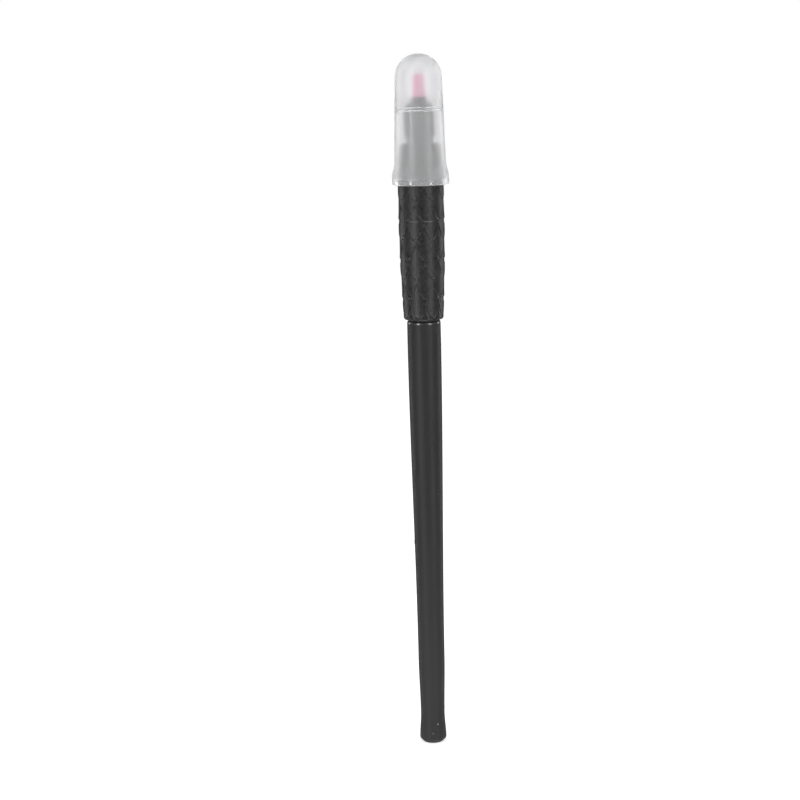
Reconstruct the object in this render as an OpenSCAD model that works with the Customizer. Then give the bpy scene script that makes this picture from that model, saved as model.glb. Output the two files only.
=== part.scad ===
// Lens cleaning pen with a sticky gel tip, standing on its tail.
// +Z runs along the pen's axis from the tail to the tip, and the origin is the
// centre of the tail's end face. Every piece is turned about that axis.
// The cap pulls straight off along +Z. All lengths are in millimetres.

/* [Handle] */
// Length of the handle from its tail to its front shoulder
handle_length = 97.65; // [90:0.05:106]
// Radius of the handle at its front shoulder
handle_front_r = 3.71; // [3.6:0.01:4]
// Radius of the handle where its long taper ends
handle_slim_r = 2.98; // [2.8:0.01:3.2]
// Radius of the handle at the waist above the tail
handle_waist_r = 2.72; // [2.4:0.01:2.8]
// Radius of the flared tail
handle_tail_r = 3.01; // [2.8:0.01:3.3]
// Radius of the handle's bore at the front, which holds the core's spigot
handle_bore_r = 2.4; // [2.1:0.05:2.6]

/* [Tail plug] */
// Radius of the plug's head
plug_head_r = 2.5; // [2.1:0.05:2.6]
// Height of the plug's head
plug_head_height = 0.45; // [0.3:0.05:0.8]
// Radius of the plug's stem
plug_stem_r = 1.5; // [1.2:0.05:1.6]
// Length of the plug's stem
plug_stem_length = 8; // [5:0.5:12]

/* [Grip] */
// Gap between the handle's shoulder and the rubber sleeve
joint_gap = 0.3; // [0.15:0.05:0.6]
// Length of the rubber sleeve
sleeve_length = 38.6; // [36:0.1:42]
// Radius of the sleeve at its belly
sleeve_belly_r = 5.06; // [4.9:0.01:5.1]
// Radius of the sleeve at its front mouth
sleeve_mouth_r = 4.13; // [3.8:0.01:4.4]
// Radius of the sleeve at its rear end
sleeve_rear_r = 4.38; // [4.1:0.01:4.6]
// Outer radius of the hard core inside the sleeve
core_r = 3.1; // [3:0.05:3.3]
// Length of the core's spigot inside the handle
spigot_length = 14; // [8:0.5:20]

/* [Neck] */
// Height of the dark neck above the groove
neck_height = 5.7; // [5:0.1:7]
// Radius of the neck
neck_r = 3.36; // [3.2:0.01:3.8]
// Height of the groove between neck and grip
groove_height = 1.1; // [0.6:0.1:2]
// Radius of the neck inside that groove
groove_r = 2.9; // [2.6:0.05:3]
// Length of the neck's stem inside the core
neck_stem_length = 12; // [8:0.5:16]

/* [Nose and tip] */
// Height of the nose cone above the neck
nose_height = 2.6; // [2.2:0.1:3.4]
// Radius of the nose cone at its base
nose_base_r = 3.1; // [2.6:0.05:3.2]
// Radius of the nose cone at its mouth
nose_mouth_r = 1.85; // [1.75:0.05:2.1]
// Length of the nose cone's stem inside the neck
nose_stem_length = 5; // [4:0.5:6.5]
// Radius of the gel tip where it leaves the nose
gel_r = 1.5; // [1.3:0.05:1.6]
// Length of gel that stands out of the nose
gel_reach = 5.4; // [5:0.1:7]
// Radius of the pin inside the gel
pin_r = 0.45; // [0.3:0.05:0.6]

/* [Cap] */
// Clear height between the gel tip and the inside of the cap's crown
cap_headroom = 3.55; // [1.5:0.05:4]
// Length of the cap from its rim to its crown
cap_length = 28; // [26.5:0.1:29]
// Thickness of the cap's wall
cap_wall = 0.65; // [0.5:0.05:0.7]
// Outer radius of the cap's round crown
cap_crown_r = 5.1; // [4.9:0.05:5.4]
// Outer radius of the cap just above its flare
cap_mouth_r = 5.63; // [5.6:0.01:5.7]
// Outer radius of the cap's flared rim
cap_rim_r = 6.25; // [5.9:0.05:6.6]
// Radial clearance between the cap's seat and the sleeve
cap_fit_gap = 0.05; // [0.03:0.01:0.1]

/* [Hidden] */
$fn = 96;

// Heights of the joints between the pieces, from the tail up
handle_base = plug_head_height;
handle_top = handle_base + handle_length;
sleeve_base = handle_top + joint_gap;
sleeve_top = sleeve_base + sleeve_length;
neck_base = sleeve_top + groove_height;
neck_top = neck_base + neck_height;
nose_top = neck_top + nose_height;
gel_top = nose_top + gel_reach;
cap_top = gel_top + cap_headroom + cap_wall;
cap_rim = cap_top - cap_length;

// Small shapes that every pen of this size shares
arc_steps = 8;
curve_steps = 16;
gel_steps = 12;

// How far a cut runs past the face that it opens
cut_over = 1;

// Handle: its rounded edges, and where its long taper, waist and flare end
shoulder_round = 0.5;
tail_round = 0.45;
straight_length = 5;
taper_low_rise = 19.5;
waist_rise = 6.1;
taper_high = handle_top - straight_length;
taper_low = handle_base + taper_low_rise;
waist_z = handle_base + waist_rise;
flare_z = handle_base + tail_round;

// Tail plug: the bevel on its head and the lead-in on its stem
plug_bevel = 0.2;
stem_lead = 0.6;

// Grip: the height of the sleeve's belly, its rounded ends, and the core's bores
belly_height = 21.2;
sleeve_rear_round = 0.4;
sleeve_front_round = 0.25;
core_face_drop = 0.1;
core_bore_r = 1.1;
neck_stem_r = 2;
neck_chamfer = 0.5;

// Nose: its rim above the neck, and the sockets for the gel and the pin
nose_rim_height = 0.45;
nose_stem_r = 1.3;
gel_socket_depth = 1;
gel_draft = 0.1;
pin_above_nose = 4.2;
pin_below_nose = 6;
pin_point = 0.2;
pin_ring_r = pin_r + 0.2;
pin_ring_height = 0.3;
pin_ring_pitch = 1.1;
pin_rings = 3;

// Cap: the rim's band, flare and rounded edge, the seat, and the bead inside
rim_band_height = 1.6;
flare_height = 3.1;
rim_round = 0.25;
seat_rise = 3.2;
seat_height = 1.2;
seat_lead = 0.6;
seat_base = cap_rim + seat_rise;
bead_rise = 16.3;
bead_r = 0.35;
bead_z = cap_rim + bead_rise;

// A smooth S from 0 to 1 that leaves and arrives level
function ease(t) = t * t * (3 - 2 * t);
function blend(a, b, t) = a + (b - a) * ease(t);

// Points [radius, height] of an arc about a centre, from one angle to another
function arc(centre, r, from, to, steps = arc_steps) =
    [for (i = [0:steps]) let (a = from + (to - from) * i / steps)
        centre + r * [cos(a), sin(a)]];

// Points [radius, height] of an eased curve between two of them
function eased(low, high, steps = curve_steps) =
    [for (i = [0:steps]) let (t = i / steps)
        [blend(low[0], high[0], t), low[1] + (high[1] - low[1]) * t]];

// The sleeve's outer radius at a height above its rear end: a slow fall from the
// belly to the rear, and a fuller one that drops late towards the mouth
function sleeve_r(h) = h < belly_height
    ? sleeve_belly_r - (sleeve_belly_r - sleeve_rear_r) * pow(1 - h / belly_height, 2)
    : sleeve_belly_r - (sleeve_belly_r - sleeve_mouth_r)
        * pow((h - belly_height) / (sleeve_length - belly_height), 4);

// The cap's outer radius on its long draft, from the flare to the crown
crown_z = cap_top - cap_crown_r;
draft_base = cap_rim + rim_band_height + flare_height;
function cap_r(z) = cap_mouth_r
    + (cap_crown_r - cap_mouth_r) * (z - draft_base) / (crown_z - draft_base);

// A solid turned about the pen's axis from an outline of [radius, height] points
module turned(outline) {
    rotate_extrude() polygon(outline);
}

// A round bar or a round hole's core along the axis, between two heights
module bar(r, low, high) {
    translate([0, 0, low]) cylinder(r = r, h = high - low);
}

// A tapered bar along the axis, between two heights
module taper(low_r, high_r, low, high) {
    translate([0, 0, low]) cylinder(r1 = low_r, r2 = high_r, h = high - low);
}

// Frosted cap: round crown, drafted wall, flared skirt, a seat that bears on the
// sleeve and a bead moulded round the inside
module cap() {
    outer_rim = [cap_rim_r - rim_round, cap_rim + rim_round];
    seat_r = sleeve_r(seat_base - sleeve_base) + cap_fit_gap;
    seat_top = seat_base + seat_height;
    skirt_r = cap_rim_r - cap_wall;
    skirt_top = cap_rim + rim_band_height;
    outer = concat(
        arc(outer_rim, rim_round, -90, 0),
        eased([cap_rim_r, skirt_top], [cap_mouth_r, draft_base]),
        arc([0, crown_z], cap_crown_r, 0, 90, curve_steps));
    inner = concat(
        arc([0, crown_z], cap_crown_r - cap_wall, 90, 0, curve_steps),
        arc([cap_r(bead_z) - cap_wall, bead_z], bead_r, 90, 270),
        [[cap_r(seat_top + seat_lead) - cap_wall, seat_top + seat_lead],
         [seat_r, seat_top],
         [seat_r, seat_base]],
        eased([seat_r, seat_base], [skirt_r, skirt_top]),
        arc([skirt_r + rim_round, cap_rim + rim_round], rim_round, 180, 270));
    color("#e6e8ea", 0.5) turned(concat(outer, inner));
}

// Pink sticky gel moulded over the pin, with a domed end
module gel_tip() {
    end_r = gel_r - gel_draft;
    outline = concat(
        [[0, nose_top - gel_socket_depth],
         [gel_r, nose_top - gel_socket_depth],
         [gel_r, nose_top]],
        arc([0, gel_top - end_r], end_r, 0, 90, gel_steps));
    color("#e58fb0") difference() {
        turned(outline);
        tip_pin_body();
    }
}

// The pin's own shape, which the gel is moulded round: a plain pin with a short
// point at each end, and rings that the gel keys on to
module tip_pin_body() {
    low = nose_top - pin_below_nose;
    high = nose_top + pin_above_nose;
    taper(pin_r - pin_point, pin_r, low, low + pin_point);
    bar(pin_r, low + pin_point, high - pin_point);
    taper(pin_r, pin_r - pin_point, high - pin_point, high);
    for (i = [1:pin_rings]) {
        ring_z = nose_top + i * pin_ring_pitch;
        bar(pin_ring_r, ring_z, ring_z + pin_ring_height);
    }
}

module tip_pin() {
    color("#d8d8d2") tip_pin_body();
}

// Cone that carries the gel: a rim on the neck, a steep hollow-sided cone, and a
// stem pressed into the neck
module nose_cone() {
    rim_top = neck_top + nose_rim_height;
    outline = concat(
        [[0, neck_top - nose_stem_length],
         [nose_stem_r, neck_top - nose_stem_length],
         [nose_stem_r, neck_top],
         [nose_base_r, neck_top],
         [nose_base_r, rim_top]],
        [for (i = [1:arc_steps]) let (t = i / arc_steps)
            [nose_base_r + (nose_mouth_r - nose_base_r) * sin(90 * t),
             rim_top + (nose_top - rim_top) * t]],
        [[0, nose_top]]);
    color("#3a3b3d") difference() {
        turned(outline);
        bar(gel_r, nose_top - gel_socket_depth, nose_top + cut_over);
        tip_pin_body();
    }
}

// Dark front piece: a plain neck, a chamfer into the groove, and a stem that is
// pressed into the core
module neck() {
    outline = [
        [0, sleeve_top - core_face_drop - neck_stem_length],
        [neck_stem_r, sleeve_top - core_face_drop - neck_stem_length],
        [neck_stem_r, sleeve_top - core_face_drop],
        [groove_r, sleeve_top - core_face_drop],
        [groove_r, neck_base],
        [neck_r, neck_base + neck_chamfer],
        [neck_r, neck_top],
        [0, neck_top]];
    color("#3f4042") difference() {
        turned(outline);
        bar(nose_stem_r, neck_top - nose_stem_length, neck_top + cut_over);
    }
}

// Hard core under the rubber sleeve, with a socket for the neck at its front and a
// spigot for the handle at its rear
module grip_core() {
    face = sleeve_top - core_face_drop;
    color("#2e2f31") difference() {
        union() {
            bar(core_r, handle_top, face);
            bar(handle_bore_r, handle_top - spigot_length, handle_top);
        }
        bar(neck_stem_r, face - neck_stem_length, face + cut_over);
        bar(core_bore_r, handle_top - spigot_length - cut_over, face);
    }
}

// Soft rubber sleeve: the smooth outer form that its scale pattern lies within
module grip_sleeve() {
    rear_r = sleeve_rear_r - sleeve_rear_round;
    front_r = sleeve_mouth_r - sleeve_front_round;
    side_low = sleeve_rear_round;
    side_high = sleeve_length - sleeve_front_round;
    outline = concat(
        [[core_r, sleeve_base]],
        arc([rear_r, sleeve_base + sleeve_rear_round], sleeve_rear_round, -90, 0),
        [for (i = [1:2 * curve_steps])
            let (h = side_low + (side_high - side_low) * i / (2 * curve_steps + 1))
            [sleeve_r(h), sleeve_base + h]],
        arc([front_r, sleeve_top - sleeve_front_round], sleeve_front_round, 0, 90),
        [[core_r, sleeve_top]]);
    color("#37383a") turned(outline);
}

// Long tapered handle, hollow, with a rounded shoulder, a waist and a flared tail
module handle() {
    bore_step = handle_top - spigot_length;
    plug_top = handle_base + plug_stem_length;
    outline = concat(
        [[0, handle_base]],
        arc([handle_tail_r - tail_round, flare_z], tail_round, -90, 0),
        eased([handle_tail_r, flare_z], [handle_waist_r, waist_z]),
        eased([handle_waist_r, waist_z], [handle_slim_r, taper_low]),
        eased([handle_slim_r, taper_low], [handle_front_r, taper_high]),
        arc([handle_front_r - shoulder_round, handle_top - shoulder_round],
            shoulder_round, 0, 90),
        [[0, handle_top]]);
    color("#434446") difference() {
        turned(outline);
        bar(plug_stem_r, handle_base - cut_over, plug_top);
        taper(plug_stem_r, handle_bore_r, plug_top, bore_step);
        bar(handle_bore_r, bore_step, handle_top + cut_over);
    }
}

// Plug that closes the hollow handle's tail, with a bevelled head
module tail_plug() {
    stem_top = handle_base + plug_stem_length;
    outline = [
        [0, 0],
        [plug_head_r - plug_bevel, 0],
        [plug_head_r, plug_bevel],
        [plug_head_r, handle_base],
        [plug_stem_r, handle_base],
        [plug_stem_r, stem_top - stem_lead],
        [plug_stem_r - stem_lead / 2, stem_top],
        [0, stem_top]];
    color("#2a2b2c") turned(outline);
}

cap();
gel_tip();
tip_pin();
nose_cone();
neck();
grip_core();
grip_sleeve();
handle();
tail_plug();
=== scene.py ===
# %% [markdown]
# # A lens cleaning pen
#
# The real object is a slim pen for dabbing dust off glass. A soft pink tip sits under
# a frosted cap, below it is a rubber grip moulded with rows of pointed scales, and a
# long tapered handle runs down to a small flared tail. Almost every piece is round
# about one axis, so the lesson here is how far a turned outline can be taken, and
# where it has to give way to a real height field.
#
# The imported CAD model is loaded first. It fixes where everything is, and nothing below
# moves it.

import bpy
import numpy as np
from mathutils import Matrix, Vector


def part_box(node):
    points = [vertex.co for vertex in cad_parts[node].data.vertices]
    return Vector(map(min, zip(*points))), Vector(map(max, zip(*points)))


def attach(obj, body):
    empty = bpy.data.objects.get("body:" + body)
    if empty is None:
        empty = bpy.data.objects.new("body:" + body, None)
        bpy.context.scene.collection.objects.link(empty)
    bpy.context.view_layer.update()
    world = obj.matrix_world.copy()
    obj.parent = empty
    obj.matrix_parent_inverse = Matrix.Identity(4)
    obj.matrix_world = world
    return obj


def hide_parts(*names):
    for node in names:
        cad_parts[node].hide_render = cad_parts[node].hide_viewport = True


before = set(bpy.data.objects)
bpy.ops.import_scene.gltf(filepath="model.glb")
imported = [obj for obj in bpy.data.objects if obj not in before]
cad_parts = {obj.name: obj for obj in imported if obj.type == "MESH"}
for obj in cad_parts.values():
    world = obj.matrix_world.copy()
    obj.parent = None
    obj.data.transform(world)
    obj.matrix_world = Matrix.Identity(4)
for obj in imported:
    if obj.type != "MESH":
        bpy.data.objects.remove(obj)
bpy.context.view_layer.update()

# %% [markdown]
# ## Sizes
#
# Heights come from the boxes of the CAD nodes. A box also gives the widest radius of a
# node, and the few radii that no box holds are named here. They are the same driving
# sizes as in the CAD source, so every new piece can be tested against the box of the
# node that it stands for.

# %% Sizes in metres
MM = 0.001


def low(node):
    """Height of a CAD node's lowest point."""
    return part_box(node)[0].z


def high(node):
    """Height of a CAD node's highest point."""
    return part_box(node)[1].z


def widest(node):
    """Largest radius of a CAD node about the pen's axis."""
    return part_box(node)[1].x


PEN_TOP = high("cap")
HANDLE_BORE_R = 2.4 * MM
PLUG_STEM_R = 1.5 * MM
CORE_R = widest("grip_core")
print(f"the pen is {PEN_TOP / MM:.1f} mm long and {2 * widest('cap') / MM:.1f} mm across")

# %% [markdown]
# ## Outlines
#
# A lathe piece is drawn as an outline of radius and height. Three small helpers make
# every outline below: a smooth S between two sizes, an arc, and a way to round the
# corners of a plain list of points. Rounded corners matter more than they seem to: a
# moulded edge is never sharp, and its small round is what catches the light.


# %% Outline helpers
def ease(t):
    """Smooth S from 0 to 1 with level ends: three t squared less two t cubed."""
    return t * t * (3 - 2 * t)


def eased(start, end, steps=24):
    """Points whose height runs evenly from start to end while the radius follows ease."""
    t = np.linspace(0, 1, steps + 1)
    radius = start[0] + (end[0] - start[0]) * ease(t)
    height = start[1] + (end[1] - start[1]) * t
    return np.column_stack([radius, height])


def arc(centre, radius, first, last, steps=10):
    """Points on a circle: centre plus radius times cosine and sine, angles in degrees."""
    a = np.radians(np.linspace(first, last, steps + 1))
    return np.asarray(centre) + radius * np.column_stack([np.cos(a), np.sin(a)])


def softened(points, radius, steps=4):
    """Each inner corner becomes a short curve that starts and ends one radius from it.

    The curve is the quadratic blend (1-t)^2 A + 2t(1-t) P + t^2 B of the corner P and
    the two points A and B on its sides. A side shorter than two radii is cut in half.
    """
    p = np.asarray(points, float)
    before, corner, after = p[:-2], p[1:-1], p[2:]

    def along(end):
        step = end - corner
        length = np.linalg.norm(step, axis=1, keepdims=True)
        return corner + step / length * np.minimum(radius, length / 2)

    t = np.linspace(0, 1, steps + 1)[None, :, None]
    a, b = along(before)[:, None], along(after)[:, None]
    curves = (1 - t) ** 2 * a + 2 * t * (1 - t) * corner[:, None] + t**2 * b
    return np.vstack([p[:1], curves.reshape(-1, 2), p[-1:]])


def joined(*parts):
    """One outline from several, without the points that would lie on each other."""
    line = np.vstack(parts)
    gap = np.linalg.norm(np.diff(line, axis=0), axis=1)
    return line[np.concatenate([[True], gap > 1e-7])]


# %% [markdown]
# ## From outline to mesh
#
# The outline is turned about the axis on a grid: one row of points for each outline
# point, one column for each angle. A closed ring, such as a tube's wall, joins its last
# row to its first. A solid that meets the axis has a single point at each end instead,
# with a fan of triangles, so that no pole is left open.


# %% Mesh helpers
def wrapped_quads(rows, columns, ring):
    """Corner indices of the quads of a grid that closes round its columns, and round
    its rows too if ring is true."""
    row = np.arange(rows if ring else rows - 1)[:, None]
    column = np.arange(columns)[None, :]
    next_row, next_column = (row + 1) % rows, (column + 1) % columns
    corners = [(row, column), (row, next_column), (next_row, next_column), (next_row, column)]
    return np.stack([r * columns + c for r, c in corners], axis=-1).reshape(-1, 4)


def mesh_from_grid(name, grid, ring, poles=None, sharp=40):
    """A smooth-shaded object from an array of points with shape (rows, columns, 3)."""
    rows, columns = grid.shape[:2]
    points = grid.reshape(-1, 3)
    faces = [tuple(f) for f in wrapped_quads(rows, columns, ring)]
    if poles is not None:
        first, last = len(points), len(points) + 1
        points = np.vstack([points, poles])
        turn = np.arange(columns)
        after = (turn + 1) % columns
        top = (rows - 1) * columns
        faces += [(first, int(b), int(a)) for a, b in zip(turn, after)]
        faces += [(last, int(top + a), int(top + b)) for a, b in zip(turn, after)]
    mesh = bpy.data.meshes.new(name)
    mesh.from_pydata(points.tolist(), [], faces)
    mesh.polygons.foreach_set("use_smooth", np.ones(len(mesh.polygons), bool))
    mesh.set_sharp_from_angle(angle=np.radians(sharp))
    obj = bpy.data.objects.new(name, mesh)
    bpy.context.scene.collection.objects.link(obj)
    print(f"{name}: {len(mesh.polygons)} faces")
    return obj


def turned(outline, angles):
    """Every outline point carried round the axis: x = r sin a, y = -r cos a, z = h.

    Angle 0 faces -Y, and the angle grows towards +X."""
    r, h = outline[:, 0][:, None], outline[:, 1][:, None]
    a = angles[None, :]
    return np.stack([r * np.sin(a), -r * np.cos(a), h + 0 * a], axis=-1)


def lathe(name, outline, columns=128):
    """A turned piece. An outline that starts and ends on the axis gets a pole at each
    end; any other is closed into a ring."""
    angles = np.linspace(0, 2 * np.pi, columns, endpoint=False)
    on_axis = outline[0, 0] < 1e-9 and outline[-1, 0] < 1e-9
    if not on_axis:
        return mesh_from_grid(name, turned(outline, angles), ring=True)
    poles = [(0, 0, outline[0, 1]), (0, 0, outline[-1, 1])]
    return mesh_from_grid(name, turned(outline[1:-1], angles), ring=False, poles=poles)


def keep_mask(obj, label, values):
    """Stores one number for each point of the mesh, for a material to read."""
    layer = obj.data.attributes.new(label, "FLOAT", "POINT")
    layer.data.foreach_set("value", np.asarray(values, np.float32).ravel())


def stands_for(obj, node, body):
    """Puts a new piece in a CAD node's place, and prints how far their boxes differ."""
    points = np.empty(len(obj.data.vertices) * 3, np.float32)
    obj.data.vertices.foreach_get("co", points)
    points = points.reshape(-1, 3)
    mine = np.concatenate([points.min(axis=0), points.max(axis=0)])
    theirs = np.concatenate([np.array(corner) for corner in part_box(node)])
    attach(obj, body)
    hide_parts(node)
    print(f"{obj.name} for {node}: boxes differ by {abs(mine - theirs).max() / MM:.3f} mm")


# %% [markdown]
# ## The handle
#
# On the real pen this is one long hollow moulding in satin black. Its radius falls in
# three smooth stretches: a long taper, a waist just above the tail, and the flare of the
# tail itself. It could be a Bezier curve with a bevel, but a formula keeps the stretches
# level where they meet. The mould closed along both sides, which leaves a hair-thin
# raised line down each side and one tiny nib of flash. Those aren't round, so the radius
# becomes a function of height and angle, and the columns crowd together at the two lines.
# The shoulder's round was left polished, so two close rows of points mark where that ends.

# %% Handle
HANDLE_R = widest("handle")
HANDLE_SLIM_R = 2.98 * MM
HANDLE_WAIST_R = 2.72 * MM
HANDLE_TAIL_R = 3.01 * MM
HANDLE_SHOULDER_ROUND = 0.5 * MM
HANDLE_TAIL_ROUND = 0.45 * MM
POLISH_DEPTH = 1.175 * HANDLE_SHOULDER_ROUND
POLISH_EDGE = 0.075 * HANDLE_SHOULDER_ROUND
HANDLE_LOW, HANDLE_HIGH = low("handle"), high("handle")
WAIST_Z = HANDLE_LOW + 6.1 * MM
TAPER_LOW_Z = HANDLE_LOW + 19.5 * MM
TAPER_HIGH_Z = HANDLE_HIGH - 5 * MM
CORE_LOW = low("grip_core")
PLUG_HIGH = high("tail_plug")

SEAM_ANGLES = np.radians([90, 270])
SEAM_HEIGHT = 0.02 * MM
SEAM_WIDTH = 0.09 * MM
NIB_Z = HANDLE_LOW + 47 * MM
NIB_HEIGHT = 0.12 * MM
NIB_LENGTH = 0.3 * MM


def handle_outside():
    """Tail round, flare, waist, long taper and shoulder round, from the tail up."""
    tail_z = HANDLE_LOW + HANDLE_TAIL_ROUND
    shoulder = (HANDLE_R - HANDLE_SHOULDER_ROUND, HANDLE_HIGH - HANDLE_SHOULDER_ROUND)
    return joined(
        arc((HANDLE_TAIL_R - HANDLE_TAIL_ROUND, tail_z), HANDLE_TAIL_ROUND, -90, 0),
        eased((HANDLE_TAIL_R, tail_z), (HANDLE_WAIST_R, WAIST_Z)),
        eased((HANDLE_WAIST_R, WAIST_Z), (HANDLE_SLIM_R, TAPER_LOW_Z), 30),
        eased((HANDLE_SLIM_R, TAPER_LOW_Z), (HANDLE_R, TAPER_HIGH_Z), 150),
        [(HANDLE_R, HANDLE_HIGH - POLISH_DEPTH - POLISH_EDGE)],
        [(HANDLE_R, HANDLE_HIGH - POLISH_DEPTH + POLISH_EDGE)],
        arc(shoulder, HANDLE_SHOULDER_ROUND, 0, 90),
    )


def seam(grid_angles, heights, radius):
    """Extra radius of the mould's closing line: a bell curve across the line, which
    grows to a nib at one height on one side."""
    ridge = np.zeros(np.broadcast(grid_angles, heights).shape)
    nib = NIB_HEIGHT * np.exp(-(((heights - NIB_Z) / NIB_LENGTH) ** 2))
    for angle, extra in zip(SEAM_ANGLES, (0, nib)):
        across = (grid_angles - angle) * radius / SEAM_WIDTH
        ridge = ridge + (SEAM_HEIGHT + extra) * np.exp(-(across**2))
    return ridge


def crowded_angles(count, centres, reach=0.09, extra=12):
    """Even angles round the circle, with more of them within reach of each centre."""
    even = np.linspace(0, 2 * np.pi, count, endpoint=False)
    near = [c + reach * np.linspace(-1, 1, extra + 1) for c in centres]
    clear = np.all([abs(even - c) > reach * 1.15 for c in centres], axis=0)
    return np.sort(np.concatenate([even[clear], *near]))


outside = handle_outside()
bore = [
    (HANDLE_BORE_R, HANDLE_HIGH),
    (HANDLE_BORE_R, CORE_LOW),
    (PLUG_STEM_R, PLUG_HIGH),
    (PLUG_STEM_R, HANDLE_LOW),
]
angles = crowded_angles(112, SEAM_ANGLES)
handle_grid = turned(joined(outside, bore), angles)
r, h = outside[:, 0][:, None], outside[:, 1][:, None]
fade = np.clip((HANDLE_HIGH - HANDLE_SHOULDER_ROUND - h) / (2 * MM), 0, 1)
swell = 1 + fade * seam(angles[None, :], h, r) / r
handle_grid[: len(outside), :, :2] *= swell[:, :, None]
handle = mesh_from_grid("handle_body", handle_grid, ring=True)
stands_for(handle, "handle", "pen")
shoulder_polish = handle_grid[..., 2] > HANDLE_HIGH - POLISH_DEPTH
keep_mask(handle, "polish", shoulder_polish)

# %% [markdown]
# ## The tail plug
#
# A small round button closes the hollow handle. From most sides only its rim shows, as a
# dark line under the flare. It is a plain turned outline with every corner softened.

# %% Tail plug
PLUG_HEAD_R = widest("tail_plug")
PLUG_BEVEL = 0.2 * MM
PLUG_LEAD = 0.6 * MM
PLUG_SOFT = 0.06 * MM
plug_outline = [
    (0, low("tail_plug")),
    (PLUG_HEAD_R - PLUG_BEVEL, low("tail_plug")),
    (PLUG_HEAD_R, low("tail_plug") + PLUG_BEVEL),
    (PLUG_HEAD_R, HANDLE_LOW),
    (PLUG_STEM_R, HANDLE_LOW),
    (PLUG_STEM_R, PLUG_HIGH - PLUG_LEAD),
    (PLUG_STEM_R - PLUG_LEAD / 2, PLUG_HIGH),
    (0, PLUG_HIGH),
]
plug = lathe("tail_button", softened(plug_outline, PLUG_SOFT), columns=96)
stands_for(plug, "tail_plug", "pen")

# %% [markdown]
# ## The scaled grip
#
# The grip is a soft rubber sleeve moulded with eight scales to a row. They point to the
# tail, and each row is turned by half a scale from the next, like roof tiles. A bump
# texture would look right only from afar, and the outline of the grip really steps in
# and out, so the scales are geometry.
#
# Seen along the pen, the lower edges of one row join into a garland that runs right round
# the sleeve. Garlands never cross, so the rubber between two of them can be one band of
# the grid: one direction runs round the pen, the other from a garland to the next one
# up. The grid lines then follow every edge exactly, and a crisp step costs one extra row.

# %% Grip: the garlands
SLEEVE_LOW, SLEEVE_HIGH = low("grip_sleeve"), high("grip_sleeve")
SLEEVE_BELLY_R = widest("grip_sleeve")
SLEEVE_REAR_R = 4.38 * MM
SLEEVE_MOUTH_R = 4.13 * MM
SLEEVE_BELLY_Z = SLEEVE_LOW + 21.2 * MM
SLEEVE_REAR_ROUND = 0.4 * MM
SLEEVE_FRONT_ROUND = 0.25 * MM

SCALES_PER_ROW = 8
SCALE_ROWS = 9
FIRST_TIP_Z = SLEEVE_LOW + 0.62 * MM
ROW_PITCH = 4.3 * MM
SCALE_RISE = 3.3 * MM
FIRST_TURN = np.radians(27.5)
HALF_SCALE = np.pi / SCALES_PER_ROW
SCALE_STEP = 0.14 * MM
LIP_WIDTH = 0.24 * MM
POINT_ROUND = 0.12
STRAIGHT_SHARE = 0.3
BEND = 2.3


def sleeve_radius(h):
    """Smooth radius of the sleeve: it falls with the square of the way from the belly
    to the rear, and with the fourth power of the way from the belly to the mouth."""
    rear = np.clip((SLEEVE_BELLY_Z - h) / (SLEEVE_BELLY_Z - SLEEVE_LOW), 0, 1)
    front = np.clip((h - SLEEVE_BELLY_Z) / (SLEEVE_HIGH - SLEEVE_BELLY_Z), 0, 1)
    rear_fall = (SLEEVE_BELLY_R - SLEEVE_REAR_R) * rear**2
    front_fall = (SLEEVE_BELLY_R - SLEEVE_MOUTH_R) * front**4
    return SLEEVE_BELLY_R - rear_fall - front_fall


def garland(row, a):
    """Height of a row's lower edge at angle a: lowest at the middle of each scale, and
    rising on both sides to where it meets the next scale. The rise mixes a V, whose
    point is rounded as in sqrt(x^2 + p^2), with a power of the way out."""
    centre = FIRST_TURN + HALF_SCALE * (row % 2)
    away = abs((a - centre + HALF_SCALE) % (2 * HALF_SCALE) - HALF_SCALE) / HALF_SCALE
    rounded_v = np.sqrt(away**2 + POINT_ROUND**2) - POINT_ROUND
    rounded_v = rounded_v / (np.sqrt(1 + POINT_ROUND**2) - POINT_ROUND)
    curve = STRAIGHT_SHARE * rounded_v + (1 - STRAIGHT_SHARE) * away**BEND
    return FIRST_TIP_Z + ROW_PITCH * row + SCALE_RISE * curve


def sink(t, span):
    """How far the rubber lies below the smooth sleeve, from a garland at t = 0 to the
    next at t = 1: nothing at the lip's edge, half a step behind the narrow lip, and then
    a slope down to the full step, where the next row starts."""
    lip = np.clip(t * span / LIP_WIDTH, 0, 1)
    return SCALE_STEP * (0.5 * ease(lip) + 0.5 * ease(t))


def plain_sink(t, _):
    """The same for the band below the first garland, which has no lip of its own."""
    return SCALE_STEP * ease(t)


# %% Grip: the grid
NEAR_LIP = np.linspace(0, 0.3 * MM, 7)[:, None]
BEHIND_LIP = np.linspace(0, 1, 9)[1:, None]
EDGE_DROP = 0.12 * MM


def band(lower, upper, drop):
    """Points between two edge lines, as arrays of radius and height, and how far each
    lies above the lower line. lower and upper hold one height for each angle. The first
    rows keep a fixed distance from the lip, and the others share what is left."""
    span = (upper - lower)[None, :]
    near = np.minimum(NEAR_LIP, 0.4 * span * NEAR_LIP / NEAR_LIP[-1])
    rise = np.vstack([near, near[-1:] + BEHIND_LIP * (span - near[-1:])])
    h = lower[None, :] + rise
    return sleeve_radius(h) - drop(rise / span, span), h, rise


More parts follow.
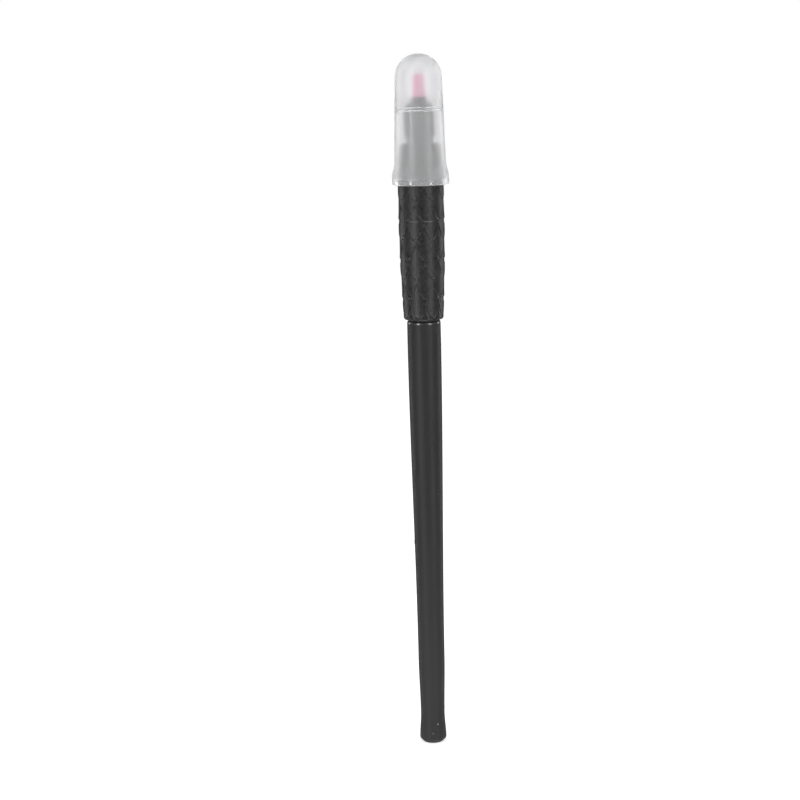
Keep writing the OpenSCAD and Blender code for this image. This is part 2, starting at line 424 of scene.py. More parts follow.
def shingled_sleeve(a):
    """Radius, height and lip strength of the outside, from the rear to the mouth."""
    rear_z = SLEEVE_LOW + SLEEVE_REAR_ROUND + 0 * a
    front_z = SLEEVE_HIGH - SLEEVE_FRONT_ROUND + 0 * a
    edges = [rear_z] + [garland(k, a) for k in range(SCALE_ROWS)] + [front_z]
    radii, heights, lips = [], [], []
    for k, (lower, upper) in enumerate(zip(edges[:-1], edges[1:])):
        drop = plain_sink if k == 0 else sink
        r, h, rise = band(lower, upper - (EDGE_DROP if k < SCALE_ROWS else 0), drop)
        radii.append(r)
        heights.append(h)
        lips.append(np.exp(-((rise / LIP_WIDTH) ** 2)) * (k > 0))
    return np.vstack(radii), np.vstack(heights), np.vstack(lips)


grip_angles = np.linspace(0, 2 * np.pi, 320, endpoint=False)
r, h, lip = shingled_sleeve(grip_angles)
rear_arc = arc(
    (SLEEVE_REAR_R - SLEEVE_REAR_ROUND, SLEEVE_LOW + SLEEVE_REAR_ROUND),
    SLEEVE_REAR_ROUND, -90, -8,
)
front_arc = arc(
    (SLEEVE_MOUTH_R - SLEEVE_FRONT_ROUND, SLEEVE_HIGH - SLEEVE_FRONT_ROUND),
    SLEEVE_FRONT_ROUND, 8, 90,
)
tube_low, tube_high = np.array([[CORE_R, SLEEVE_LOW]]), np.array([[CORE_R, SLEEVE_HIGH]])
skin = np.stack([r * np.sin(grip_angles), -r * np.cos(grip_angles), h], axis=-1)
grid = np.concatenate(
    [
        turned(np.vstack([tube_low, rear_arc]), grip_angles),
        skin,
        turned(np.vstack([front_arc, tube_high]), grip_angles),
    ]
)
grip = mesh_from_grid("scaled_grip", grid, ring=True, sharp=60)
stands_for(grip, "grip_sleeve", "pen")

lip_everywhere = np.zeros(grid.shape[:2], np.float32)
first_row = 1 + len(rear_arc)
lip_everywhere[first_row : first_row + len(lip)] = lip
keep_mask(grip, "lip", lip_everywhere)
print(f"{SCALES_PER_ROW * SCALE_ROWS} scales, each step {SCALE_STEP / MM:.2f} mm high")

# %% [markdown]
# ## The neck and the nose cone
#
# Both are dark plastic, and the frosted cap blurs them until it is pulled off. The neck
# is a plain cylinder that slips into the grip below a narrow groove. The nose is a steep
# cone with hollow sides. Each outline walks down its own blind hole as well, so the meshes
# are true solids that fit each other.

# %% Neck and nose cone
NECK_LOW, NECK_HIGH = low("neck"), high("neck")
NECK_R = widest("neck")
NECK_STEM_R = 2 * MM
GROOVE_R = 2.9 * MM
GROOVE_HIGH = SLEEVE_HIGH + 1.1 * MM
NECK_CHAMFER = 0.5 * MM
NECK_SOFT, NOSE_SOFT = 0.12 * MM, 0.07 * MM
NOSE_STEM_R = 1.3 * MM
CORE_FACE = high("grip_core")
NOSE_LOW, NOSE_HIGH = low("nose_cone"), high("nose_cone")
neck_outline = [
    (0, NECK_LOW),
    (NECK_STEM_R, NECK_LOW),
    (NECK_STEM_R, CORE_FACE),
    (GROOVE_R, CORE_FACE),
    (GROOVE_R, GROOVE_HIGH),
    (NECK_R, GROOVE_HIGH + NECK_CHAMFER),
    (NECK_R, NECK_HIGH),
    (NOSE_STEM_R, NECK_HIGH),
    (NOSE_STEM_R, NOSE_LOW),
    (0, NOSE_LOW),
]
neck = lathe("front_neck", softened(neck_outline, NECK_SOFT))
stands_for(neck, "neck", "pen")

NOSE_BASE_R = widest("nose_cone")
NOSE_MOUTH_R = 1.85 * MM
NOSE_RIM = NECK_HIGH + 0.45 * MM
GEL_R = widest("gel_tip")
GEL_LOW, GEL_HIGH = low("gel_tip"), high("gel_tip")
PIN_R = 0.45 * MM
PIN_LOW, PIN_HIGH = low("tip_pin"), high("tip_pin")
t = np.linspace(0, 1, 17)[1:, None]
cone_side = np.hstack(
    [
        NOSE_BASE_R + (NOSE_MOUTH_R - NOSE_BASE_R) * np.sin(t * np.pi / 2),
        NOSE_RIM + (NOSE_HIGH - NOSE_RIM) * t,
    ]
)
nose_low_outline = [(0, NOSE_LOW), (NOSE_STEM_R, NOSE_LOW), (NOSE_STEM_R, NECK_HIGH)]
nose_rim_outline = [(NOSE_BASE_R, NECK_HIGH), (NOSE_BASE_R, NOSE_RIM)]
nose_mouth_outline = [
    (GEL_R, NOSE_HIGH),
    (GEL_R, GEL_LOW),
    (PIN_R, GEL_LOW),
    (PIN_R, PIN_LOW),
    (0, PIN_LOW),
]
nose_outline = joined(nose_low_outline, nose_rim_outline, cone_side, nose_mouth_outline)
nose = lathe("nose", joined(softened(nose_outline, NOSE_SOFT)))
stands_for(nose, "nose_cone", "pen")

# %% [markdown]
# ## The gel tip
#
# The tip is a soft pink gel cast round a thin pin. Gel has no crisp edges: it bulges a
# little over the mouth of the nose, its side waves, and its end is a slack dome. The
# outline comes from the turned shape, and a slow wave that depends on height and angle
# is then laid over the part that stands clear of the nose.

# %% Gel tip
GEL_DRAFT = 0.1 * MM
GEL_END_R = GEL_R - GEL_DRAFT
GEL_WAVE = 0.03 * MM
side = np.linspace(0, 1, 25)[:, None]
gel_side = np.hstack(
    [
        GEL_R + (GEL_END_R - GEL_R) * ease(side),
        NOSE_HIGH + (GEL_HIGH - GEL_END_R - NOSE_HIGH) * side,
    ]
)
gel_outline = joined(
    [(0, PIN_HIGH), (PIN_R, PIN_HIGH), (PIN_R, GEL_LOW), (GEL_R, GEL_LOW)],
    gel_side,
    arc((0, GEL_HIGH - GEL_END_R), GEL_END_R, 0, 90, 14)[:-1],
    [(0, GEL_HIGH)],
)
gel_angles = np.linspace(0, 2 * np.pi, 72, endpoint=False)
gel_grid = turned(gel_outline[1:-1], gel_angles)
clear = np.clip((gel_grid[..., 2] - NOSE_HIGH) / (1.5 * MM), 0, 1)
outside_skin = (np.hypot(gel_grid[..., 0], gel_grid[..., 1]) > PIN_R * 1.01) * clear
wave = np.sin(3 * gel_angles[None, :] + gel_grid[..., 2] / (0.7 * MM))
wave = wave + np.sin(2 * gel_angles[None, :] - gel_grid[..., 2] / (0.45 * MM))
shrink = 1 - outside_skin * GEL_WAVE / GEL_R * (1 + wave / 2)
gel_grid[..., :2] *= shrink[..., None]
gel_poles = [(0, 0, PIN_HIGH), (0, 0, GEL_HIGH)]
gel = mesh_from_grid("gel_dome", gel_grid, ring=False, poles=gel_poles)
stands_for(gel, "gel_tip", "pen")

# %% [markdown]
# ## The cap
#
# The cap is a thin frosted moulding: a round crown, a wall that widens slowly, and a
# skirt that flares over the grip. Its wall is a real wall with an inside and an outside,
# because light that passes through frosted plastic is bent and scattered at both. Inside
# are a seat that rests on the rubber and a raised bead. Outside, two fine ridges mark the
# height of the bead, and they catch the light as thin bright rings.

# %% Cap
CAP_LOW, CAP_HIGH = low("cap"), high("cap")
CAP_RIM_R = widest("cap")
CAP_WALL = 0.65 * MM
CAP_CROWN_R = 5.1 * MM
CAP_MOUTH_R = 5.63 * MM
RIM_ROUND = 0.3 * MM
BAND_HIGH = CAP_LOW + 1.6 * MM
DRAFT_LOW = BAND_HIGH + 3.1 * MM
CROWN_Z = CAP_HIGH - CAP_CROWN_R
SEAT_LOW = CAP_LOW + 3.2 * MM
SEAT_HIGH = SEAT_LOW + 1.2 * MM
SEAT_LEAD = 0.6 * MM
SEAT_GAP = 0.05 * MM
SEAT_R = float(sleeve_radius(SEAT_LOW)) + SEAT_GAP
BEAD_Z = CAP_LOW + 16.3 * MM
BEAD_R = 0.35 * MM
RIDGE_R = 0.1 * MM


def draft_radius(h):
    """Outer radius of the cap's long wall, which narrows evenly up to the crown."""
    way = (h - DRAFT_LOW) / (CROWN_Z - DRAFT_LOW)
    return CAP_MOUTH_R + (CAP_CROWN_R - CAP_MOUTH_R) * way


def fine_ridge(z):
    """A low half-round on the long wall: the wall's radius plus half a circle."""
    centre = (draft_radius(z) - 0.3 * RIDGE_R, z)
    below, above = z - 1.3 * RIDGE_R, z + 1.3 * RIDGE_R
    return joined(
        [(draft_radius(below), below)],
        arc(centre, RIDGE_R, -60, 60, 8),
        [(draft_radius(above), above)],
    )


def cap_outline():
    """The wall's outline: from the inside pole down the inside, round the rim, up the
    outside and over the crown to the outside pole."""
    skirt_r = CAP_RIM_R - CAP_WALL
    crown = (0, CROWN_Z)
    seat_top = SEAT_HIGH + SEAT_LEAD
    inside = joined(
        arc(crown, CAP_CROWN_R - CAP_WALL, 90, 0, 36),
        arc((draft_radius(BEAD_Z) - CAP_WALL, BEAD_Z), BEAD_R, 90, 270, 16),
        [(draft_radius(seat_top) - CAP_WALL, seat_top)],
        eased((SEAT_R, SEAT_LOW), (skirt_r, BAND_HIGH)),
        arc((skirt_r + RIM_ROUND, CAP_LOW + RIM_ROUND), RIM_ROUND, 180, 270, 8),
    )
    outside = joined(
        arc((CAP_RIM_R - RIM_ROUND, CAP_LOW + RIM_ROUND), RIM_ROUND, -90, 0, 8),
        eased((CAP_RIM_R, BAND_HIGH), (CAP_MOUTH_R, DRAFT_LOW)),
        fine_ridge(BEAD_Z - BEAD_R),
        fine_ridge(BEAD_Z + BEAD_R),
        arc(crown, CAP_CROWN_R, 0, 90, 36),
    )
    return joined(inside, outside)


def polish_of(outline):
    """1 where the mould was polished: on the bead, on the two fine ridges over it and
    on the rounded rim."""
    r, h = outline[:, 0], outline[:, 1]
    inside = r < draft_radius(h) - CAP_WALL / 2
    on_bead = (abs(h - BEAD_Z) < 1.3 * BEAD_R) & inside
    on_ridge = (abs(abs(h - BEAD_Z) - BEAD_R) < RIDGE_R) & ~inside
    on_rim = h < CAP_LOW + 1.01 * RIM_ROUND
    return (on_bead | on_ridge | on_rim).astype(np.float32)


wall = cap_outline()
wall[[0, -1], 0] = 0
CAP_COLUMNS = 192
cap = lathe("frosted_shell", wall, CAP_COLUMNS)
stands_for(cap, "cap", "cap")
polish = np.concatenate([np.repeat(polish_of(wall[1:-1]), CAP_COLUMNS), [0, 0]])
keep_mask(cap, "polish", polish)

# %% [markdown]
# ## The moulding line on the grip
#
# A fine raised line crosses the front of the grip, where the parts of its mould met. It
# spans less than a quarter of a turn, ends at two valleys between scales, and all but
# fades out in the middle. It is a tiny half-round bead swept along the rubber, so it takes
# the height of the skin below it from the same formula as the scales.

# %% Moulding line
LINE_Z = SLEEVE_LOW + 21.85 * MM
LINE_FROM, LINE_TO = np.radians([-35, 33])
LINE_R = 0.11 * MM
GAP_AT, GAP_WIDTH = np.radians([-1, 9])


def skin_radius(z, a):
    """Radius of the scaled skin at height z and angle a. The band that holds z lies
    between the last garland below it and the next; sink gives the depth in the band."""
    edges = np.array([garland(k, a) for k in range(SCALE_ROWS)])
    row = (edges < z).sum(axis=0) - 1
    lower = np.take_along_axis(edges, row[None, :], 0)[0]
    upper = np.take_along_axis(edges, row[None, :] + 1, 0)[0]
    return sleeve_radius(z) - sink((z - lower) / (upper - lower), upper - lower)


LINE_STEPS = 60
line_angles = np.linspace(LINE_FROM, LINE_TO, LINE_STEPS)
turn = np.linspace(2 * np.pi, 0, 12, endpoint=False)
fade = np.sqrt(np.clip(1 - np.linspace(-1, 1, LINE_STEPS) ** 8, 0.02, 1))
fade = fade * (1 - 0.9 * np.exp(-(((line_angles - GAP_AT) / GAP_WIDTH) ** 4)))
line_r = skin_radius(LINE_Z, line_angles) + np.cos(turn)[:, None] * LINE_R * fade
line_h = LINE_Z + np.sin(turn)[:, None] * LINE_R * fade
line_x, line_y = line_r * np.sin(line_angles), -line_r * np.cos(line_angles)
line_grid = np.stack([line_x, line_y, line_h], axis=-1).transpose(1, 0, 2)
ends = [line_grid[0].mean(axis=0), line_grid[-1].mean(axis=0)]
line = mesh_from_grid("moulding_line", line_grid, ring=False, poles=ends, sharp=80)
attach(line, "pen")

# %% [markdown]
# ## Shared finishes
#
# Every plastic on this pen was moulded, handled and lightly dusted. Those three effects
# are node groups that each material uses with its own values. They read Object
# coordinates, so a pattern has the same real scale on every piece. The noise is made
# in metres: a scale of 4000 is a grain of about a quarter of a millimetre.


# %% Node helpers
def group_with(name, inputs, outputs):
    """A new shader node group with float sockets, and its input and output nodes."""
    group = bpy.data.node_groups.new(name, "ShaderNodeTree")
    kind = "NodeSocketFloat"
    for label, value in inputs:
        socket = group.interface.new_socket(label, in_out="INPUT", socket_type=kind)
        socket.default_value = value
    for label in outputs:
        group.interface.new_socket(label, in_out="OUTPUT", socket_type=kind)
    return group, group.nodes.new("NodeGroupInput"), group.nodes.new("NodeGroupOutput")


def node(tree, kind, values=(), **settings):
    """A new node with its settings, and with sockets set or linked by name or number."""
    made = tree.nodes.new(kind)
    for key, value in settings.items():
        setattr(made, key, value)
    for key, value in dict(values).items():
        if isinstance(value, bpy.types.NodeSocket):
            tree.links.new(value, made.inputs[key])
        else:
            made.inputs[key].default_value = value
    return made


def math(tree, operation, *values, clamp=False):
    """The output of a Math node."""
    made = node(tree, "ShaderNodeMath", enumerate(values), operation=operation)
    made.use_clamp = clamp
    return made.outputs[0]


def noise(tree, vector, scale, detail=2.0, rough=0.5):
    """The value of a Noise texture."""
    values = {"Vector": vector, "Scale": scale, "Detail": detail, "Roughness": rough}
    return node(tree, "ShaderNodeTexNoise", values).outputs["Fac"]


def between(tree, value, zero_at, one_at):
    """A value rescaled so that zero_at becomes 0 and one_at becomes 1, held within 0 to 1."""
    values = {"Value": value, "From Min": zero_at, "From Max": one_at}
    return node(tree, "ShaderNodeMapRange", values).outputs["Result"]


def object_point(tree):
    """Object coordinates, in metres."""
    return node(tree, "ShaderNodeTexCoord").outputs["Object"]


# %% The three shared effects
def moulded_grain():
    """Fine spark-eroded grain with slow clouds: one height and one tone from 0 to 1."""
    inputs = [("Scale", 4000.0), ("Clouds", 300.0)]
    tree, given, put = group_with("moulded grain", inputs, ["Height", "Tone"])
    point = object_point(tree)
    fine = noise(tree, point, given.outputs["Scale"], 3.0, 0.6)
    slow = noise(tree, point, given.outputs["Clouds"], 3.0)
    tree.links.new(fine, put.inputs["Height"])
    fine_part = math(tree, "MULTIPLY", fine, 0.45)
    mixed = math(tree, "ADD", fine_part, math(tree, "MULTIPLY", slow, 0.55))
    tree.links.new(between(tree, mixed, 0.3, 0.7), put.inputs["Tone"])
    return tree


def rubbed_edges():
    """Wear on convex edges: the mesh's pointiness, broken up by noise."""
    inputs = [("From", 0.505), ("To", 0.56), ("Break up", 900.0)]
    tree, given, put = group_with("rubbed edges", inputs, ["Mask"])
    pointed = node(tree, "ShaderNodeNewGeometry").outputs["Pointiness"]
    edge = between(tree, pointed, given.outputs["From"], given.outputs["To"])
    broken = noise(tree, object_point(tree), given.outputs["Break up"], 4.0)
    patchy = between(tree, broken, 0.35, 0.62)
    tree.links.new(math(tree, "MULTIPLY", edge, patchy), put.inputs["Mask"])
    return tree


def dust_specks():
    """Sparse round specks: the nearest point of a cell pattern, kept where a second
    noise allows."""
    inputs = [("Scale", 700.0), ("Size", 0.12), ("Amount", 0.6)]
    tree, given, put = group_with("dust specks", inputs, ["Mask"])
    point = object_point(tree)
    cells = {"Vector": point, "Scale": given.outputs["Scale"]}
    cell = node(tree, "ShaderNodeTexVoronoi", cells)
    away = math(tree, "DIVIDE", cell.outputs["Distance"], given.outputs["Size"])
    dot = math(tree, "SUBTRACT", 1.0, away, clamp=True)
    parts = node(tree, "ShaderNodeSeparateColor", {"Color": cell.outputs["Color"]})
    limit = math(tree, "SUBTRACT", 1.0, given.outputs["Amount"])
    kept = math(tree, "GREATER_THAN", parts.outputs["Red"], limit)
    tree.links.new(math(tree, "MULTIPLY", dot, kept), put.inputs["Mask"])
    return tree


GRAIN, WEAR, DUST = moulded_grain(), rubbed_edges(), dust_specks()
print("shared effects:", [g.name for g in (GRAIN, WEAR, DUST)])


# %% Material helpers
def new_material(name):
    """A material with its Principled shader, and the tree that holds it."""
    material = bpy.data.materials.new(name)
    material.use_nodes = True
    tree = material.node_tree
    return material, tree, tree.nodes["Principled BSDF"]


def effect(tree, group, **values):
    """One of the shared effects, with its own values, which may be linked."""
    made = tree.nodes.new("ShaderNodeGroup")
    made.node_tree = group
    for label, value in values.items():
        socket = made.inputs[label.replace("_", " ")]
        if isinstance(value, bpy.types.NodeSocket):
            tree.links.new(value, socket)
        else:
            socket.default_value = value
    return made.outputs


def blended(tree, mask, first, second):
    """A colour that runs from first to second with the mask."""
    mix = node(tree, "ShaderNodeMix", data_type="RGBA")
    for socket, value in ((mix.inputs[6], first), (mix.inputs[7], second)):
        if isinstance(value, bpy.types.NodeSocket):
            tree.links.new(value, socket)
        else:
            socket.default_value = (*value, 1)
    tree.links.new(mask, mix.inputs[0])
    return mix.outputs[2]


def link_all(tree, shader, **sockets):
    """Links values to the named sockets of a shader."""
    for label, value in sockets.items():
        tree.links.new(value, shader.inputs[label.replace("_", " ")])


def raised(tree, height, distance, strength=1.0):
    """The normal of a Bump node."""
    values = {"Height": height, "Distance": distance, "Strength": strength}
    return node(tree, "ShaderNodeBump", values).outputs["Normal"]


def paint(material, *objects):
    """Gives objects the material, in the slots they have or in a new one."""
    print(f"{material.name}: {[obj.name for obj in objects]}")
    for obj in objects:
        if not obj.data.materials:
            obj.data.materials.append(material)
        for place in obj.material_slots:
            place.material = material


# %% [markdown]
# ## Black plastics
#
# The handle, the neck and the hidden core are black moulded plastic, from satin to
# matte. One function makes them all. A black surface shows almost nothing but its
# reflections, so what matters is how its roughness varies: faint streaks along the pen
# where the plastic flowed, scuffs on the edges, and a few specks of dust. The polished
# shoulder of the handle gets a smoother, brighter coat, which shows as a thin glint.


# %% Black plastics
DUST_FROM, DUST_FULL = 3.5 * MM, 1 * MM
DULL_FROM, DULL_FULL = 60 * MM, 15 * MM


def black_plastic(name, tone, rough, streaks=0.0, dust=0.0, dull_tail=0.0):
    """Black plastic of the given linear tone and roughness. The part within reach of a
    palm or a desk, towards the tail, can be duller and a little paler."""
    material, tree, shader = new_material(name)
    grain = effect(tree, GRAIN, Scale=5200.0, Clouds=260.0)
    wear = effect(tree, WEAR)["Mask"]
    height = node(tree, "ShaderNodeSeparateXYZ", {"Vector": object_point(tree)}).outputs["Z"]
    gathered = math(tree, "MULTIPLY", between(tree, height, DUST_FROM, DUST_FULL), 8 * dust)
    amount = math(tree, "ADD", gathered, dust)
    specks = effect(tree, DUST, Scale=900.0, Size=0.2, Amount=amount)["Mask"]
    stretch = node(tree, "ShaderNodeMapping", {"Vector": object_point(tree)})
    stretch.inputs["Scale"].default_value = (1, 1, 0.03)
    streak = between(tree, noise(tree, stretch.outputs[0], 1500.0, 3.0), 0.35, 0.65)
    dark = tuple(tone * k for k in (0.86, 0.86, 0.88))
    light = tuple(tone * k for k in (1.16, 1.16, 1.18))
    tail = between(tree, height, DULL_FROM, DULL_FULL)
    fresh = blended(tree, grain["Tone"], dark, light)
    pale = math(tree, "MULTIPLY", tail, dull_tail)
    colour = blended(tree, pale, fresh, tuple(1.5 * k for k in light))
    worn = blended(tree, math(tree, "MULTIPLY", wear, 0.5), colour, (0.09, 0.09, 0.09))
    dusty = blended(tree, specks, worn, (0.3, 0.3, 0.29))
    change = math(tree, "MULTIPLY", math(tree, "SUBTRACT", streak, 0.5), streaks)
    tone_change = math(tree, "MULTIPLY", math(tree, "SUBTRACT", grain["Tone"], 0.5), 0.08)
    roughness = math(tree, "ADD", math(tree, "ADD", change, tone_change), rough)
    roughness = math(tree, "ADD", roughness, math(tree, "MULTIPLY", pale, 0.2))
    polish_mask = node(tree, "ShaderNodeAttribute", attribute_name="polish").outputs["Fac"]
    matte = math(tree, "SUBTRACT", 1.0, math(tree, "MULTIPLY", polish_mask, 0.5))
    roughness = math(tree, "MULTIPLY", roughness, matte)
    link_all(tree, shader, Base_Color=dusty, Roughness=roughness, Coat_Weight=polish_mask)
    shader.inputs["Coat Roughness"].default_value = 0.26
    shader.inputs["Coat IOR"].default_value = 2.0
    link_all(tree, shader, Normal=raised(tree, grain["Height"], 0.00002, 0.5))
    shader.inputs["Specular IOR Level"].default_value = 0.38
    return material


satin_black = black_plastic(
    "satin black handle", 0.013, 0.5, streaks=0.08, dust=0.02, dull_tail=0.6
)
front_black = black_plastic("matte black front", 0.03, 0.5)
core_black = black_plastic("hidden black core", 0.02, 0.48, dust=0.05)
paint(satin_black, handle)
paint(front_black, neck, nose)
paint(core_black, plug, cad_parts["grip_core"])

# %% [markdown]
# ## Rubber
#
# The grip is softer and duller than the handle. It has a mottled skin, its raised lips
# are polished by fingers and carry a painted highlight of lighter grey, and it holds more
# dust than hard plastic does. The lips come from the attribute that was stored with the
# mesh, so the polish and the painted highlight follow each scale.

# %% Black rubber
rubber, tree, shader = new_material("matte black rubber")
grain = effect(tree, GRAIN, Scale=3200.0, Clouds=1700.0)
specks = effect(tree, DUST, Scale=520.0, Size=0.13, Amount=0.05)["Mask"]
lip_mask = node(tree, "ShaderNodeAttribute", attribute_name="lip").outputs["Fac"]
skin_tone = blended(tree, grain["Tone"], (0.001, 0.001, 0.0012), (0.022, 0.022, 0.022))
# Painted highlight: a lighter grey painted on the lips, where their edges catch the light.
painted_lip_highlight = blended(tree, math(tree, "MULTIPLY", lip_mask, 0.3), skin_tone, (0.04, 0.04, 0.04))
dusty = blended(tree, specks, painted_lip_highlight, (0.25, 0.25, 0.24))
mottle = math(tree, "MULTIPLY", math(tree, "SUBTRACT", grain["Tone"], 0.5), 0.26)
rough = math(tree, "ADD", mottle, 0.38)
rough = math(tree, "SUBTRACT", rough, math(tree, "MULTIPLY", lip_mask, 0.16))
link_all(tree, shader, Base_Color=dusty, Roughness=rough)
link_all(tree, shader, Normal=raised(tree, grain["Height"], 0.00006, 0.8))
paint(rubber, grip)

flash, tree, shader = new_material("polished rubber line")
grain = effect(tree, GRAIN, Scale=5000.0, Clouds=1200.0)
colour = blended(tree, grain["Tone"], (0.05, 0.05, 0.05), (0.1, 0.1, 0.1))
roughness = between(tree, grain["Tone"], -1.0, 4.0)
link_all(tree, shader, Base_Color=colour, Roughness=roughness)
paint(flash, line)

# %% [markdown]
# ## Gel and pin
#
# The gel is tinted through, so light goes in and comes out softened. Subsurface
# scattering does that at small cost. The pin inside it is unpainted plastic.

# %% Gel and pin
pink, tree, shader = new_material("pink gel")
grain = effect(tree, GRAIN, Scale=1400.0, Clouds=500.0)
colour = blended(tree, grain["Tone"], (0.76, 0.26, 0.42), (0.87, 0.38, 0.53))
link_all(tree, shader, Base_Color=colour)
link_all(tree, shader, Normal=raised(tree, grain["Height"], 0.00006, 0.4))
shader.inputs["Roughness"].default_value = 0.34
shader.inputs["Subsurface Weight"].default_value = 0.35
shader.inputs["Subsurface Radius"].default_value = (1.0, 0.35, 0.45)
shader.inputs["Subsurface Scale"].default_value = 0.0008
shader.inputs["Coat Weight"].default_value = 0.3
paint(pink, gel)

natural, tree, shader = new_material("natural pin plastic")
grain = effect(tree, GRAIN, Scale=3600.0, Clouds=700.0)
colour = blended(tree, grain["Tone"], (0.58, 0.56, 0.5), (0.7, 0.68, 0.62))
link_all(tree, shader, Base_Color=colour)
link_all(tree, shader, Normal=raised(tree, grain["Height"], 0.00003, 0.4))
shader.inputs["Roughness"].default_value = 0.45
paint(natural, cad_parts["tip_pin"])

# %% [markdown]
# ## The frosted plastic
#
# The cap is natural polypropylene: clear enough to show what is inside, and milky enough
# to blur it. Milkiness could be a volume, but that is slow. Here most of the light is
# refracted through a rough surface, and the rest is scattered by a pale diffuse part. A
# little sheen keeps the rounded sides pale, as a milky wall does where it is seen
# edge on. The wall has two surfaces, so the blur grows with the distance behind it.

# %% Frosted plastic
frost, tree, shader = new_material("frosted polypropylene")
grain = effect(tree, GRAIN, Scale=3000.0, Clouds=240.0)
specks = effect(tree, DUST, Scale=360.0, Size=0.08, Amount=0.04)["Mask"]
milky = blended(tree, grain["Tone"], (0.892, 0.898, 0.908), (0.934, 0.938, 0.944))
speckled = blended(tree, math(tree, "MULTIPLY", specks, 0.5), milky, (0.8, 0.8, 0.8))
clouds = math(tree, "MULTIPLY", math(tree, "SUBTRACT", grain["Tone"], 0.5), 0.06)
polish_mask = node(tree, "ShaderNodeAttribute", attribute_name="polish").outputs["Fac"]
matte = math(tree, "SUBTRACT", 1.0, math(tree, "MULTIPLY", polish_mask, 0.8))
frosting = math(tree, "MULTIPLY", math(tree, "ADD", clouds, 0.36), matte)
link_all(tree, shader, Base_Color=speckled, Roughness=frosting)
link_all(tree, shader, Normal=raised(tree, grain["Tone"], 0.00001, 0.1))
shader.inputs["Transmission Weight"].default_value = 0.87
shader.inputs["Sheen Weight"].default_value = 0.6
shader.inputs["Sheen Roughness"].default_value = 0.35
shader.inputs["IOR"].default_value = 1.49
paint(frost, cap)

# %% [markdown]
# ## Light
#
# The pen is lit like a small product in a light tent. Two tall softboxes in front draw
# the two soft bands down the black parts, two more behind it draw the thin lines
# along its sides, and a pale surround fills the rest. Two small disks, one high and one
# low, light the edges that face them. The softboxes reach below the floor, and the floor
# shows neither in reflections nor through the cap, so the bands run on to the tail and
# the pulled cap still stands out against the pale ground.

# %% Softboxes
PEN_MIDDLE = Vector((0, 0, PEN_TOP / 2))
SOFTBOX_DISTANCE = 0.5
SOFTBOX_HEIGHT = 1.2
DISK_SIZE = 0.12


def area_light(name, place, power, width, height=None):
    """An area light that faces the pen: a rectangle, or a disk if no height is given."""
    light = bpy.data.lights.new(name, "AREA")
    light.shape, light.size, light.energy = "DISK", width, power
    if height is not None:
        light.shape, light.size_y = "RECTANGLE", height
    lamp = bpy.data.objects.new(name, light)
    lamp.location = place
    lamp.rotation_euler = (PEN_MIDDLE - lamp.location).to_track_quat("-Z", "Y").to_euler()
    bpy.context.scene.collection.objects.link(lamp)
    print(f"{name}: {power} W")


def softbox(name, azimuth, width, power):
    """A tall softbox round the pen. Azimuth is in degrees from -Y to +X."""
    a = np.radians(azimuth)
    place = PEN_MIDDLE + SOFTBOX_DISTANCE * Vector((np.sin(a), -np.cos(a), 0))
    area_light(name, place, power, width, SOFTBOX_HEIGHT)


softbox("left front softbox", -41, 0.08, 1.9)
softbox("right front softbox", 43, 0.08, 1.5)
softbox("left rear softbox", -119, 0.06, 0.95)
softbox("right rear softbox", 121, 0.06, 0.95)
area_light("top light", (0, -0.15, 0.75), 0.7, DISK_SIZE)
area_light("low light", (0, -0.15, -0.6), 1.4, DISK_SIZE)

# %% [markdown]
# ## Floor and surround
#
# The surround is white where the camera or the frosted cap looks straight at it, and
# dimmer in reflections, so that black stays black. The floor glows a little by itself,
# which keeps it as pale as the surround, and it still takes a soft contact shadow.

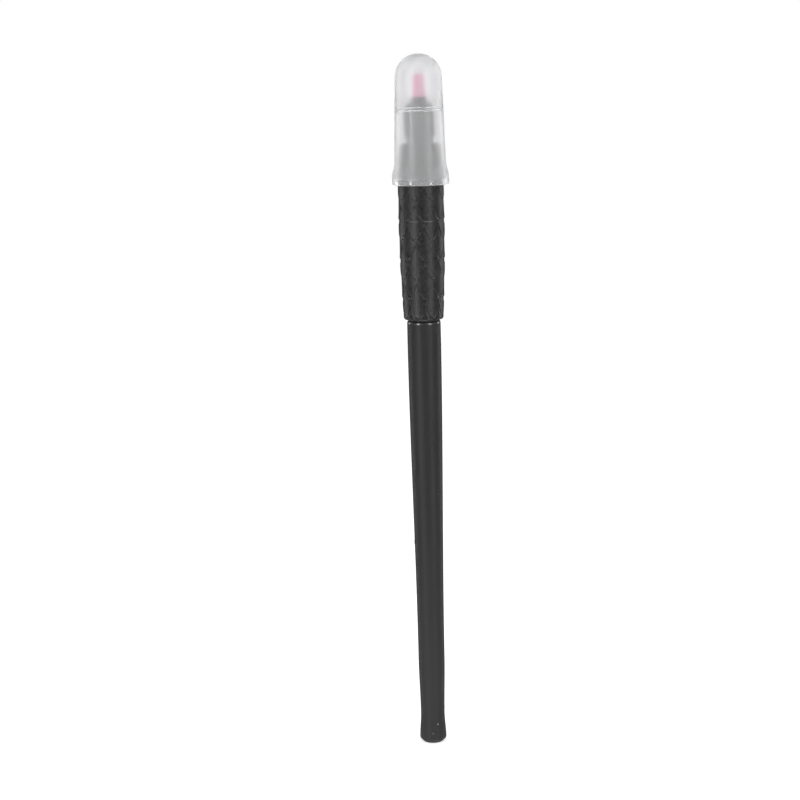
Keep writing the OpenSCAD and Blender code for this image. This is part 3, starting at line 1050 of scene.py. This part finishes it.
# %% Surround
SEEN_BY_DIFFUSE = 0.62
SEEN_IN_GLOSS = 0.17
world = bpy.data.worlds.new("pale surround")
bpy.context.scene.world = world
world.use_nodes = True
sky = world.node_tree
path = node(sky, "ShaderNodeLightPath")
through = math(sky, "MINIMUM", path.outputs["Transmission Depth"], 1.0)
straight = math(sky, "MAXIMUM", path.outputs["Is Camera Ray"], through)
mirrored = math(sky, "MULTIPLY", path.outputs["Is Glossy Ray"], SEEN_IN_GLOSS - SEEN_BY_DIFFUSE)
bounced = math(sky, "ADD", mirrored, SEEN_BY_DIFFUSE)
kept = math(sky, "MULTIPLY", math(sky, "SUBTRACT", 1.0, straight), bounced)
strength = math(sky, "ADD", kept, straight)
sky.links.new(strength, sky.nodes["Background"].inputs["Strength"])
sky.nodes["Background"].inputs["Color"].default_value = (1, 1, 1, 1)
print("surround strengths:", SEEN_BY_DIFFUSE, "diffuse,", SEEN_IN_GLOSS, "in gloss")
bpy.context.scene.view_settings.view_transform = "Standard"

# %% Floor
FLOOR_HALF = 30.0
floor_mesh = bpy.data.meshes.new("floor")
corners = FLOOR_HALF * np.array([(-1, -1, 0), (1, -1, 0), (1, 1, 0), (-1, 1, 0)], float)
floor_mesh.from_pydata(corners.tolist(), [], [(0, 1, 2, 3)])
floor = bpy.data.objects.new("floor", floor_mesh)
bpy.context.scene.collection.objects.link(floor)
pale, tree, shader = new_material("pale floor")
tone = noise(tree, object_point(tree), 3.0)
link_all(tree, shader, Base_Color=blended(tree, tone, (0.8, 0.8, 0.8), (0.82, 0.82, 0.82)))
shader.inputs["Roughness"].default_value = 1.0
shader.inputs["Specular IOR Level"].default_value = 0.0
shader.inputs["Emission Color"].default_value = (1, 1, 1, 1)
shader.inputs["Emission Strength"].default_value = 0.5
paint(pale, floor)
floor.visible_glossy = False
floor.visible_shadow = False
floor.visible_transmission = False

# %% [markdown]
# ## Camera
#
# A long lens from the height of the cap, tipped down by eleven degrees. The pen leans a
# little in the frame, and that is the camera's roll, not the pen's.

# %% Camera
CAMERA_DISTANCE = 0.38975
CAMERA_DOWN = np.radians(11.005)
CAMERA_TURN = np.radians(0.841)
CAMERA_ROLL = np.radians(-1.48)
LENS_LENGTH = 80.1
SENSOR_WIDTH = 36
lens = bpy.data.cameras.new("camera")
lens.sensor_width = SENSOR_WIDTH
lens.lens = LENS_LENGTH
lens.clip_start, lens.clip_end = 0.01, 100
camera = bpy.data.objects.new("camera", lens)
bpy.context.scene.collection.objects.link(camera)
aim = Matrix.Rotation(CAMERA_TURN, 4, "Z")
aim = aim @ Matrix.Rotation(np.pi / 2 - CAMERA_DOWN, 4, "X")
aim = aim @ Matrix.Rotation(CAMERA_ROLL, 4, "Z")
camera.matrix_world = Matrix.Translation((0, -CAMERA_DISTANCE, PEN_TOP)) @ aim
bpy.context.scene.camera = camera
print(f"camera {CAMERA_DISTANCE:.3f} m away with a {LENS_LENGTH} mm lens")
